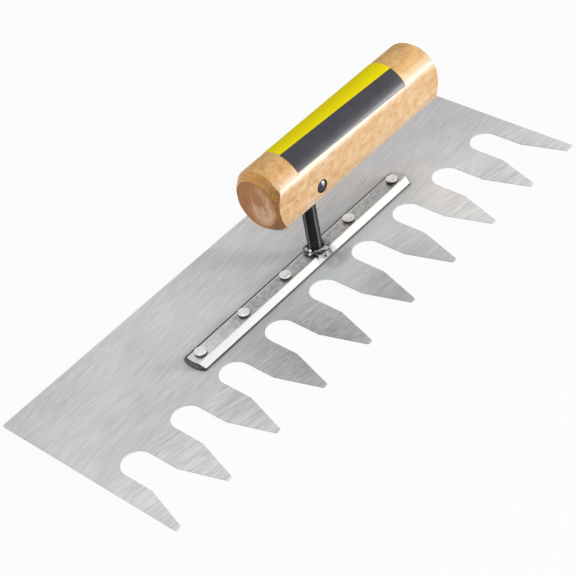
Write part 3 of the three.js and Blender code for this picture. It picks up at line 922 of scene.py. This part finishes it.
class TROWEL_OT_blade(Operator):
    """Models the blade from one notch, repeated along the front edge"""

    bl_idname = "trowel.blade"
    bl_label = "Blade"

    def execute(self, context):
        sizes = context.scene.trowel_blade
        low, high, middle = where("blade")
        radius = sizes.notch_width / 2
        pitch = sizes.tooth_pitch
        first_tooth = low.x + sizes.near_land
        last_tooth = first_tooth + (sizes.tooth_count - 1) * pitch
        notch = first_tooth + pitch / 2
        root_y = low.y + sizes.notch_depth - radius
        taper_y = low.y + sizes.tooth_taper
        mouth = (pitch - sizes.tip_width) / 2
        blade = start(
            "notched_blade",
            bpy.ops.mesh.primitive_circle_add,
            vertices=FINE_TURN,
            radius=radius,
            location=(notch, root_y, low.z),
        )
        open_piece(blade)
        pick("VERT", lambda at, facing: at.y < root_y - HAIR)
        bpy.ops.mesh.delete(type="VERT")
        pick("VERT", lambda at, facing: same(at.y, root_y))
        extrude(y=taper_y - root_y)
        extrude(y=low.y - taper_y)
        resize(mouth / radius, 1, 1, about=(notch, low.y, low.z))
        extrude()
        resize(pitch / 2 / mouth, 1, 1, about=(notch, low.y, low.z))
        close_piece()
        apply_modifier(
            blade,
            "ARRAY",
            count=sizes.tooth_count - 1,
            use_relative_offset=False,
            use_constant_offset=True,
            constant_offset_displace=(pitch, 0, 0),
            use_merge_vertices=True,
            merge_threshold=HAIR,
        )
        open_piece(blade)
        for tooth, end in ((first_tooth, low.x), (last_tooth, high.x)):
            pick("VERT", lambda at, facing: same(at.x, tooth))
            extrude(x=end - tooth)
            extrude(y=high.y - low.y)
        pick("VERT", lambda at, facing: same(at.y, high.y))
        bpy.ops.mesh.edge_face_add()
        round_off(sizes.back_corner, 6, affect="VERTICES")

        def is_tip_corner(at, facing):
            teeth_along = (at.x - first_tooth) / pitch
            return same(at.y, low.y) and abs(teeth_along - round(teeth_along)) > 0.01

        pick("VERT", is_tip_corner)
        round_off(sizes.tip_round, 4, affect="VERTICES")
        pick_all()
        bpy.ops.mesh.edge_face_add()
        extrude(z=high.z - low.z)
        face_outwards()
        pick("EDGE", lambda at, facing: {abs(normal.z) > 0.5 for normal in facing} == {True, False})
        round_off(sizes.edge_round, 2)
        close_piece()
        for rivet in RIVETS:
            combine(blade, self.make_drill(rivet, middle.z, high.z - low.z), "DIFFERENCE")
        dress(blade, "brushed_steel")
        smooth(blade, 20)
        place(blade, "brushed_blade", "blade")
        return {"FINISHED"}

    def make_drill(self, rivet, height, thickness):
        """The cone that leaves a gap round a rivet's tail, three times as long as the blade is thick."""
        sizes = bpy.context.scene.trowel_bar
        hole = where(rivet)[2]
        flare = sizes.head_radius - sizes.shank_radius
        return start(
            "hole",
            bpy.ops.mesh.primitive_cone_add,
            vertices=SMALL_TURN,
            radius1=sizes.head_radius + sizes.hole_gap + flare,
            radius2=sizes.shank_radius + sizes.hole_gap - flare,
            depth=3 * thickness,
            location=(hole.x, hole.y, height),
        )


class TROWEL_OT_bar(Operator):
    """Models the bevelled bar along the blade, with curved sheared ends"""

    bl_idname = "trowel.bar"
    bl_label = "Backing bar"

    def execute(self, context):
        sizes = context.scene.trowel_bar
        low, high, middle = where("backing_bar")
        half = (high.y - low.y) / 2
        near = low.x + sizes.end_bulge
        far = high.x - sizes.end_bulge
        bar = start(
            "bevelled_bar",
            bpy.ops.mesh.primitive_cube_add,
            size=1,
            location=((near + far) / 2, middle.y, low.z + sizes.edge_land / 2),
            scale=(far - near, 2 * half, sizes.edge_land),
        )
        open_piece(bar)
        pick("FACE", lambda at, facing: facing.z > 0.9)
        extrude(z=high.z - low.z - sizes.edge_land)
        resize(1, (half - sizes.bevel_run) / half, 1, about=(middle.x, middle.y, high.z))
        columns = 10
        for column in range(1, columns):
            slice_through((0, low.y + 2 * half * column / columns, 0), (0, 1, 0))
        for end, bulge in ((near, -sizes.end_bulge), (far, sizes.end_bulge)):
            pick("VERT", lambda at, facing: same(at.x, end) and same(at.y, middle.y))
            bpy.ops.transform.translate(
                value=(bulge, 0, 0),
                use_proportional_edit=True,
                proportional_edit_falloff="INVERSE_SQUARE",
                proportional_size=half,
            )
        face_outwards()
        for test, offset in ((self.is_crest, sizes.edge_round), (self.is_end_edge, sizes.end_roll)):
            pick("EDGE", test)
            round_off(offset, 4)
        close_piece()

        def is_side(facing):
            return abs(facing.x) < 0.25

        # The upright strips and the rear bevel take the dark finish as painted shade; the rear crest's
        # rounding takes the pale bevel finish, part of a painted highlight line.
        dress(
            bar,
            "drawn_steel",
            ("sheared_steel_and_shade", lambda at, facing: facing.z < 0.3 or not is_side(facing)),
            ("sheared_steel_and_shade", lambda at, facing: facing.z < 0.9 and facing.y > 0.3),
            (
                "planed_steel",
                lambda at, facing: is_side(facing) and 0.3 < facing.z < 0.93 and facing.y < -0.3,
            ),
            (
                "planed_steel",
                lambda at, facing: is_side(facing) and 0.9 < facing.z < 0.998 and facing.y > 0,
            ),
        )
        smooth(bar, 25)
        place(bar, "bright_steel", "backing_bar")
        return {"FINISHED"}

    def is_crest(self, at, facing):
        """Whether an edge lies between the top and a bevel."""
        return any(normal.z > 0.9 for normal in facing) and any(0.3 < normal.z < 0.9 for normal in facing)

    def is_end_edge(self, at, facing):
        """Whether an edge lies between an end and the top or a bevel."""
        is_end = any(abs(normal.x) > 0.9 for normal in facing)
        return is_end and any(normal.z > 0.3 and abs(normal.x) < 0.1 for normal in facing)


class TROWEL_OT_rivets(Operator):
    """Models one rivet and sets a turned copy of it in each hole"""

    bl_idname = "trowel.rivets"
    bl_label = "Rivets"

    # How far up its upright side a head has reached its full width.
    waist = 0.35

    def execute(self, context):
        sizes = context.scene.trowel_bar
        low, _, middle = where(RIVETS[0])
        bar_low, bar_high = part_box("backing_bar")
        seat = Vector((middle.x, middle.y, bar_high.z))
        rivet = start(
            "rivet",
            bpy.ops.mesh.primitive_cone_add,
            vertices=SMALL_TURN,
            radius1=sizes.head_radius,
            radius2=sizes.shank_radius,
            depth=bar_low.z - low.z,
            location=(middle.x, middle.y, (low.z + bar_low.z) / 2),
        )
        open_piece(rivet)
        pick("FACE", lambda at, facing: facing.z > 0.9)
        extrude(z=bar_high.z - bar_low.z)
        extrude()
        wider = sizes.head_foot * sizes.head_radius / sizes.shank_radius
        resize(wider, wider, 1, about=seat)
        extrude(z=sizes.head_edge * self.waist)
        resize(1 / sizes.head_foot, 1 / sizes.head_foot, 1, about=seat)
        extrude(z=sizes.head_edge * (1 - self.waist))
        crown = seat + Vector((0, 0, sizes.head_edge))
        add_dome(crown, (0, 0, 1), sizes.head_radius, sizes.head_dome)
        face_outwards()
        pick("FACE", lambda at, facing: at.z > seat.z + sizes.head_edge * 0.9)
        bpy.ops.mesh.subdivide(number_cuts=1)
        bpy.ops.object.vertex_group_assign_new()
        close_piece()
        head = rivet.vertex_groups[0].name
        roughen(rivet, "hammer_dents", sizes.dent_width, sizes.dent_depth, mid_level=0.6, vertex_group=head)
        dress(rivet, "hammered_metal")
        smooth(rivet, 40)
        copies = [duplicate(rivet, "hammered_" + name) for name in RIVETS]
        bpy.data.objects.remove(rivet)
        for index, (copy, name) in enumerate(zip(copies, RIVETS)):
            step = where(name)[2] - middle
            open_piece(copy)
            pick_all()
            bpy.ops.transform.rotate(value=index * sizes.head_turn, orient_axis="Z", center_override=middle)
            bpy.ops.transform.translate(value=(step.x, step.y, 0))
            close_piece()
            place(copy, "bright_steel", name)
        return {"FINISHED"}


class TROWEL_OT_post(Operator):
    """Models the round post from the bar up into the grip"""

    bl_idname = "trowel.post"
    bl_label = "Post"

    # How many millimetres up the foot it is swollen, and by what share of its flare.
    swelling = ((0, 1.0), (1, 0.6), (2, 0.25), (3, 0.08))

    def execute(self, context):
        sizes = context.scene.trowel_post
        low, high, middle = where("post")
        radius = (high.x - low.x) / 2
        add = bpy.ops.mesh.primitive_cylinder_add
        post = start(
            "painted_post", add, vertices=SMALL_TURN, radius=radius, depth=high.z - low.z, location=middle
        )
        open_piece(post)
        pick("EDGE", lambda at, facing: same(at.z, high.z) and len(facing) == 2)
        round_off(sizes.chamfer, 2)
        for height in (1, 2, 3, 5, 12, 20, 28, 36):
            slice_through((0, 0, low.z + height * MM), (0, 0, 1))
        for height, swell in self.swelling:
            pick("VERT", lambda at, facing: same(at.z, low.z + height * MM))
            wider = 1 + swell * sizes.foot_flare / radius
            resize(wider, wider, 1, about=(middle.x, middle.y, low.z))
        face_outwards()
        close_piece()
        dress(post, "painted_steel")
        smooth(post, 35)
        place(post, "black_paint", "post")
        return {"FINISHED"}


def bead_place(turn, out, rise):
    """Where a bead stands round the post's foot, on the bar's top or further down its bevel."""
    sizes = bpy.context.scene.trowel_post
    bar = bpy.context.scene.trowel_bar
    post = where("post")[2]
    low, high, middle = where("backing_bar")
    reach = sizes.weld_ring * out
    x = post.x + math.cos(math.radians(turn)) * reach
    y = post.y + math.sin(math.radians(turn)) * reach
    top_half = (high.y - low.y) / 2 - bar.bevel_run
    slope = (high.z - low.z - bar.edge_land) / bar.bevel_run
    drop = max(0.0, abs(y - middle.y) - top_half) * slope
    return Vector((x, y, high.z - drop * 0.8 + sizes.weld_bead * rise))


class TROWEL_OT_weld(Operator):
    """Models the weld from beads of its own sizes, run together round the post's foot"""

    bl_idname = "trowel.weld"
    bl_label = "Weld"

    # Of each bead: its degrees round the post; how far out it is, against the ring's radius; how wide it is
    # and how high its middle is, both against a middling bead; how tall it is, against its width; and how
    # bright its metal is.
    beads = (
        (98, 0.94, 0.80, 0.75, 1.0, 0.15),
        (119, 0.84, 0.42, 1.95, 1.2, 0.75),
        (136, 0.98, 0.90, 0.85, 1.1, 0.1),
        (160, 1.00, 0.80, 1.15, 1.2, 0.55),
        (172, 1.24, 0.72, 0.25, 0.9, 0.1),
        (186, 0.94, 0.66, 1.25, 1.2, 1.0),
        (192, 1.22, 0.60, 0.50, 1.0, 0.9),
        (206, 0.98, 0.62, 0.65, 0.9, 0.25),
        (222, 0.90, 0.66, 1.10, 1.1, 0.2),
        (228, 1.30, 0.55, 0.05, 0.8, 0.0),
        (233, 1.44, 0.30, 0.15, 0.8, 0.7),
        (244, 0.90, 0.62, 1.15, 1.2, 0.3),
        (266, 0.92, 0.60, 1.15, 2.0, 1.2),
        (287, 1.06, 0.90, 1.05, 1.9, 1.3),
        (268, 1.40, 0.40, 0.10, 0.6, 0.35),
        (308, 1.26, 0.66, 0.25, 1.0, 0.45),
        (322, 1.00, 0.84, 1.05, 1.2, 0.2),
        (336, 1.14, 0.78, 0.75, 1.0, 0.35),
        (356, 1.02, 0.80, 0.35, 0.9, 0.1),
        (18, 1.00, 0.80, 0.25, 0.9, 0),
        (40, 0.98, 0.80, 0.30, 0.9, 0),
        (62, 0.98, 0.85, 0.30, 0.9, 0),
        (82, 0.96, 0.80, 0.45, 0.9, 0),
    )

    # The ring inside the beads, against the ring that they stand on and against a middling bead.
    core_reach = 0.92
    core_width = 0.65
    # How a bead is stretched outwards and along the ring.
    bead_plan = (1.1, 0.9)

    def execute(self, context):
        sizes = context.scene.trowel_post
        post = where("post")[2]
        ring = start(
            "weld_ring",
            bpy.ops.mesh.primitive_torus_add,
            major_radius=sizes.weld_ring * self.core_reach,
            minor_radius=sizes.weld_bead * self.core_width,
            major_segments=SMALL_TURN,
            minor_segments=12,
            location=(post.x, post.y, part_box("backing_bar")[1].z),
        )
        beads = [
            start(
                "bead",
                bpy.ops.mesh.primitive_ico_sphere_add,
                subdivisions=3,
                radius=sizes.weld_bead * width,
                location=bead_place(turn, out, rise),
                rotation=(0, 0, math.radians(turn)),
                scale=(*self.bead_plan, 0.8 * tall),
            )
            for turn, out, width, rise, tall, _ in self.beads
        ]
        choose(ring)
        for bead in beads:
            bead.select_set(True)
        bpy.ops.object.join()
        apply_modifier(ring, "REMESH", mode="VOXEL", voxel_size=sizes.weld_grain, use_smooth_shade=True)
        apply_modifier(ring, "SMOOTH", factor=0.5, iterations=3)
        roughen(ring, "weld_ripple", sizes.ripple_width, sizes.ripple_depth, mid_level=0.5)
        dress(ring, "welded_steel")
        place(ring, "weld_metal", "weld_bead")
        return {"FINISHED"}


class Section:
    """The grip's section at one place along it: two rounds, four ridges and two planed flats."""

    def __init__(self, name, begin, radius):
        self.sizes = bpy.context.scene.trowel_grip
        low, high, self.axis = where("handle_grip")
        self.begin = begin
        self.side = (high.y - low.y) / 2
        self.ridge_y = self.side - self.sizes.ridge_round
        self.ridge_z = math.sqrt((self.sizes.radius - self.sizes.ridge_round) ** 2 - self.ridge_y**2)
        self.turn = math.atan2(self.ridge_z, self.ridge_y)
        self.touch_y = radius * math.cos(self.turn)
        self.touch_z = radius * math.sin(self.turn)
        middle = (begin, self.axis.y, self.axis.z)
        add = bpy.ops.mesh.primitive_circle_add
        self.piece = start(
            name, add, vertices=2 * FINE_TURN, radius=radius, location=middle, rotation=ALONG_X
        )
        open_piece(self.piece)
        for toward in (-1, 1):
            at = (begin, self.axis.y + toward * self.touch_y, self.axis.z)
            slice_through(at, (0, toward, 0), clear_outer=True)

    def add_ridge(self, toward, up, steps):
        """Spins the round on about the middle of one ridge, as far as the planed side."""
        pick(
            "VERT",
            lambda at, facing: same(at.y, self.axis.y + toward * self.touch_y, hairs=5)
            and same(at.z, self.axis.z + up * self.touch_z, hairs=20),
        )
        bpy.ops.mesh.spin(
            steps=steps,
            angle=toward * up * self.turn,
            center=(self.begin, self.axis.y + toward * self.ridge_y, self.axis.z + up * self.ridge_z),
            axis=(1, 0, 0),
        )


class TROWEL_OT_grip(Operator):
    """Models the grip: a turned stick with bevelled ends and two planed sides, bored for post and pin"""

    bl_idname = "trowel.grip"
    bl_label = "Grip"

    def execute(self, context):
        sizes = context.scene.trowel_grip
        low, high, axis = where("handle_grip")
        stick = self.turn_stick(sizes, low, high, axis)
        combine(stick, self.draw_section(sizes, low, high), "INTERSECT")
        shoulder = sizes.bevel_length - sizes.crest_round / 4
        rim = sizes.rim_round + sizes.face_rim
        sawn_y = sizes.sawn_half - rim
        sawn_z = sizes.radius - sizes.bevel_depth - rim

        def is_sawn(at, facing):
            off = math.hypot((at.y - axis.y - sizes.sawn_shift) / sawn_y, (at.z - axis.z) / sawn_z)
            return abs(facing.x) > 0.5 and off < 1

        dress(
            stick,
            "varnished_stick",
            ("turned_bevel", lambda at, facing: min(at.x - low.x, high.x - at.x) < shoulder),
            ("cut_end", is_sawn),
        )
        for cutter in self.make_drills(sizes, low, high, axis):
            dress(cutter, "shaded_bore_wood")
            combine(stick, cutter, "DIFFERENCE")
        smooth(stick, 24)
        place(stick, "varnished_wood", "handle_grip")
        return {"FINISHED"}

    def make_drills(self, sizes, low, high, axis):
        """The bore for the post, and the recess for each head of the pin."""
        add = bpy.ops.mesh.primitive_cylinder_add
        post_low, post_high, post = where("post")
        pin = where("handle_pin")[2]
        radius = (post_high.x - post_low.x) / 2 + sizes.post_gap
        depth = post_high.z - low.z + 2 * OVERRUN
        middle = (post.x, post.y, (post_high.z + low.z) / 2)
        yield start("bore", add, vertices=SMALL_TURN, radius=radius, depth=depth, location=middle)
        out = (high.y - low.y + OVERRUN - sizes.pin_seat) / 2
        for toward in (-1, 1):
            yield start(
                "recess",
                add,
                vertices=SMALL_TURN,
                radius=sizes.pin_head + sizes.pin_gap,
                depth=sizes.pin_seat + OVERRUN,
                location=(pin.x, axis.y + toward * out, pin.z),
                rotation=ALONG_Y,
            )

    def turn_stick(self, sizes, low, high, axis):
        """The round stick with its end bevels, a hair wider than the section that will trim it."""
        wide = sizes.radius + HAIR * 10
        stick = start(
            "turned_grip",
            bpy.ops.mesh.primitive_cylinder_add,
            vertices=2 * FINE_TURN,
            radius=wide,
            depth=high.x - low.x - 2 * sizes.bevel_length,
            location=axis,
            rotation=ALONG_X,
        )
        lower = (sizes.radius - sizes.bevel_depth) / wide
        narrower = sizes.sawn_half / wide
        fixed = axis.y + sizes.sawn_shift / (1 - narrower)
        open_piece(stick)
        for end, outwards in ((low.x, -1), (high.x, 1)):
            pick("FACE", lambda at, facing: facing.x * outwards > 0.9)
            extrude(x=outwards * sizes.bevel_length)
            resize(1, narrower, lower, about=(end, fixed, axis.z))
        for inwards, offset in ((sizes.bevel_length, sizes.crest_round), (0, sizes.rim_round)):
            pick(
                "EDGE",
                lambda at, facing: self.is_corner(facing) and same(min(at.x - low.x, high.x - at.x), inwards),
            )
            round_off(offset, 5)
        pick("FACE", lambda at, facing: same(min(at.x - low.x, high.x - at.x), 0))
        bpy.ops.mesh.inset(thickness=sizes.face_rim)
        bpy.ops.mesh.inset(thickness=sizes.face_slope, depth=-sizes.face_sink)
        close_piece()
        return stick

    def is_corner(self, facing):
        """Whether the two faces of an edge meet at more than a facet's turn."""
        return len(facing) == 2 and facing[0].angle(facing[1]) > math.radians(20)

    def draw_section(self, sizes, low, high):
        """The planed section, drawn out longer than the grip."""
        section = Section("section", low.x - OVERRUN, sizes.radius)
        for toward in (-1, 1):
            for up in (-1, 1):
                section.add_ridge(toward, up, steps=8)
            pick("VERT", lambda at, facing: same(at.y, section.axis.y + toward * section.side, hairs=5))
            bpy.ops.mesh.edge_face_add()
        merge_doubles(HAIR)
        bpy.ops.mesh.edge_face_add()
        extrude(x=high.x - low.x + 2 * OVERRUN)
        face_outwards()
        close_piece()
        return section.piece


class TROWEL_OT_pin(Operator):
    """Models the cross pin with a domed head at each side of the grip"""

    bl_idname = "trowel.pin"
    bl_label = "Cross pin"

    def execute(self, context):
        sizes = context.scene.trowel_grip
        middle = where("handle_pin")[2]
        grip_low, grip_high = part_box("handle_grip")
        inner = (grip_high.y - grip_low.y) / 2 - sizes.pin_seat
        pin = start(
            "domed_pin",
            bpy.ops.mesh.primitive_cylinder_add,
            vertices=SMALL_TURN,
            radius=sizes.pin_shank,
            depth=2 * inner,
            location=middle,
            rotation=ALONG_Y,
        )
        wider = sizes.pin_head / sizes.pin_shank
        open_piece(pin)
        for outwards in (-1, 1):
            seat = middle + Vector((0, outwards * inner, 0))
            pick("FACE", lambda at, facing: (at.y - middle.y) * outwards > inner - HAIR)
            extrude()
            resize(wider, 1, wider, about=seat)
            extrude(y=outwards * sizes.pin_edge)
            crown = seat + Vector((0, outwards * sizes.pin_edge, 0))
            add_dome(crown, (0, outwards, 0), sizes.pin_head, sizes.pin_dome, steps=6)
        face_outwards()
        close_piece()
        dress(pin, "blued_steel")
        smooth(pin, 40)
        place(pin, "dark_steel", "handle_pin")
        return {"FINISHED"}


class TROWEL_OT_label(Operator):
    """Models the printed film that is stuck round the top of the grip"""

    bl_idname = "trowel.label"
    bl_label = "Label"

    def execute(self, context):
        sizes = context.scene.trowel_grip
        low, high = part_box("label")
        section = Section("label_film", low.x - OVERRUN, sizes.radius + sizes.label_gap)
        pick("VERT", lambda at, facing: at.z < section.axis.z)
        bpy.ops.mesh.delete(type="VERT")
        section.add_ridge(-1, 1, steps=12)
        merge_doubles(HAIR)
        extrude(x=high.x - low.x + 2 * OVERRUN)
        near = self.corner(section, low.x, sizes.label_near_turn)
        far = self.corner(section, high.x, sizes.label_far_turn)
        middle_turn = (sizes.label_near_turn + sizes.label_far_turn) / 2
        outwards = Vector((0, -math.cos(middle_turn), math.sin(middle_turn)))
        slice_through(near, (far - near).cross(outwards), clear_outer=True)
        slice_through((low.x, low.y, 0), (1, -sizes.label_skew, 0), clear_inner=True)
        slice_through((high.x, low.y, 0), (1, -sizes.label_skew, 0), clear_outer=True)
        face_outwards()
        close_piece()
        apply_modifier(section.piece, "SOLIDIFY", thickness=sizes.label_thickness, offset=1.0)
        dress(section.piece, "label_print")
        smooth(section.piece, 30)
        place(section.piece, "printed_film", "label")
        return {"FINISHED"}

    def corner(self, section, x, turn):
        """A place on the front ridge, so far round it."""
        out = section.ridge_y + section.sizes.ridge_round * math.cos(turn)
        up = section.ridge_z + section.sizes.ridge_round * math.sin(turn)
        return Vector((x, section.axis.y - out, section.axis.z + up))


class TROWEL_OT_stage(Operator):
    """Sets up the floor, the surroundings, two softboxes and the camera"""

    bl_idname = "trowel.stage"
    bl_label = "Stage"

    def execute(self, context):
        settings = context.scene.trowel_stage
        self.lay_floor(settings, context.scene.trowel_colours)
        self.light_surroundings(context.scene, settings)
        self.hang_softbox("key_softbox", settings.key_power, (0.7065, -0.9043, 0.3508), (0.33, 0.62))
        self.hang_softbox("left_softbox", settings.left_power, (-0.9, -0.35, 0.95), (0.8, 0.8))
        self.aim_camera(context.scene, settings)
        context.scene.view_settings.view_transform = "Standard"
        return {"FINISHED"}

    def is_looked_at(self, nodes):
        """One for what the camera sees, straight, in a reflection or through glass."""
        rays = nodes.add("ShaderNodeLightPath").outputs
        kinds = ("Is Camera Ray", "Is Glossy Ray", "Is Transmission Ray")
        return nodes.most(*(Signal(nodes, rays[kind]) for kind in kinds))

    def empty_nodes(self, holder):
        holder.use_nodes = True
        holder.node_tree.nodes.clear()
        return Nodes(holder.node_tree)

    def lay_floor(self, settings, colours):
        floor = start("floor", bpy.ops.mesh.primitive_plane_add, size=12, location=(0, 0, -0.05 * MM))
        material = bpy.data.materials.new("pale_floor")
        nodes = self.empty_nodes(material)
        lit = nodes.make("ShaderNodeBsdfDiffuse", {"Color": colours.floor})
        white = nodes.make("ShaderNodeEmission", {"Color": (1, 1, 1), "Strength": 1.0})
        part = self.is_looked_at(nodes) * settings.own_white
        mixed = nodes.make("ShaderNodeMixShader", {0: part, 1: lit, 2: white})
        nodes.add("ShaderNodeOutputMaterial", {"Surface": mixed})
        floor.data.materials.append(material)

    def light_surroundings(self, scene, settings):
        world = bpy.data.worlds.new("surroundings")
        nodes = self.empty_nodes(world)
        strength = self.is_looked_at(nodes).spread(0, 1, settings.sky, 1.0)
        sky = nodes.make("ShaderNodeBackground", {"Color": (1, 1, 1), "Strength": strength})
        nodes.add("ShaderNodeOutputWorld", {"Surface": sky})
        scene.world = world

    def hang_softbox(self, name, watts, at, size):
        """Hangs a lamp of a width and a height at a place in metres, turned to the middle of the blade."""
        bpy.ops.object.light_add(type="AREA", location=at)
        lamp = bpy.context.object
        lamp.name = name
        lamp.data.name = name
        lamp.data.shape = "RECTANGLE"
        lamp.data.size, lamp.data.size_y = size
        lamp.data.energy = watts
        lamp.rotation_euler = Vector(at).to_track_quat("Z", "Y").to_euler()

    def aim_camera(self, scene, settings):
        turn, rise = settings.azimuth, settings.elevation
        back = Vector((math.sin(turn) * math.cos(rise), -math.cos(turn) * math.cos(rise), math.sin(rise)))
        bpy.ops.object.camera_add()
        camera = bpy.context.object
        camera.name = "photo_camera"
        camera.data.lens = settings.lens
        camera.data.sensor_width = 36
        camera.data.clip_start = 10 * MM
        camera.rotation_mode = "QUATERNION"
        camera.location = Vector((settings.aim_x, settings.aim_y, settings.aim_z)) + back * settings.distance
        camera.rotation_quaternion = (-back).to_track_quat("-Z", "Y") @ Quaternion((0, 0, 1), settings.roll)
        scene.camera = camera


class TROWEL_PT_build(Panel):
    """Lists the operators and every size, colour and setting"""

    bl_label = "Notched trowel"
    bl_idname = "TROWEL_PT_build"
    bl_space_type = "VIEW_3D"
    bl_region_type = "UI"
    bl_category = "Trowel"

    def draw(self, context):
        for operator in OPERATORS:
            self.layout.operator(operator.bl_idname)
        for group in GROUPS:
            settings = getattr(context.scene, group)
            for name in settings.bl_rna.properties.keys():
                if name not in {"rna_type", "name"}:
                    self.layout.prop(settings, name)


GROUPS = {
    "trowel_blade": BladeSizes,
    "trowel_bar": BarSizes,
    "trowel_post": PostSizes,
    "trowel_grip": GripSizes,
    "trowel_colours": FinishColours,
    "trowel_stage": StageSettings,
}
OPERATORS = (
    TROWEL_OT_finishes,
    TROWEL_OT_blade,
    TROWEL_OT_bar,
    TROWEL_OT_rivets,
    TROWEL_OT_post,
    TROWEL_OT_weld,
    TROWEL_OT_grip,
    TROWEL_OT_pin,
    TROWEL_OT_label,
    TROWEL_OT_stage,
)
CLASSES = (*GROUPS.values(), *OPERATORS, TROWEL_PT_build)


def register():
    for item in CLASSES:
        bpy.utils.register_class(item)
    for name, group in GROUPS.items():
        setattr(bpy.types.Scene, name, PointerProperty(type=group))


def unregister():
    for name in GROUPS:
        delattr(bpy.types.Scene, name)
    for item in reversed(CLASSES):
        bpy.utils.unregister_class(item)


def main():
    register()
    bpy.ops.trowel.finishes()
    bpy.ops.trowel.blade()
    bpy.ops.trowel.bar()
    bpy.ops.trowel.rivets()
    bpy.ops.trowel.post()
    bpy.ops.trowel.weld()
    bpy.ops.trowel.grip()
    bpy.ops.trowel.pin()
    bpy.ops.trowel.label()
    bpy.ops.trowel.stage()


if __name__ == "__main__":
    main()
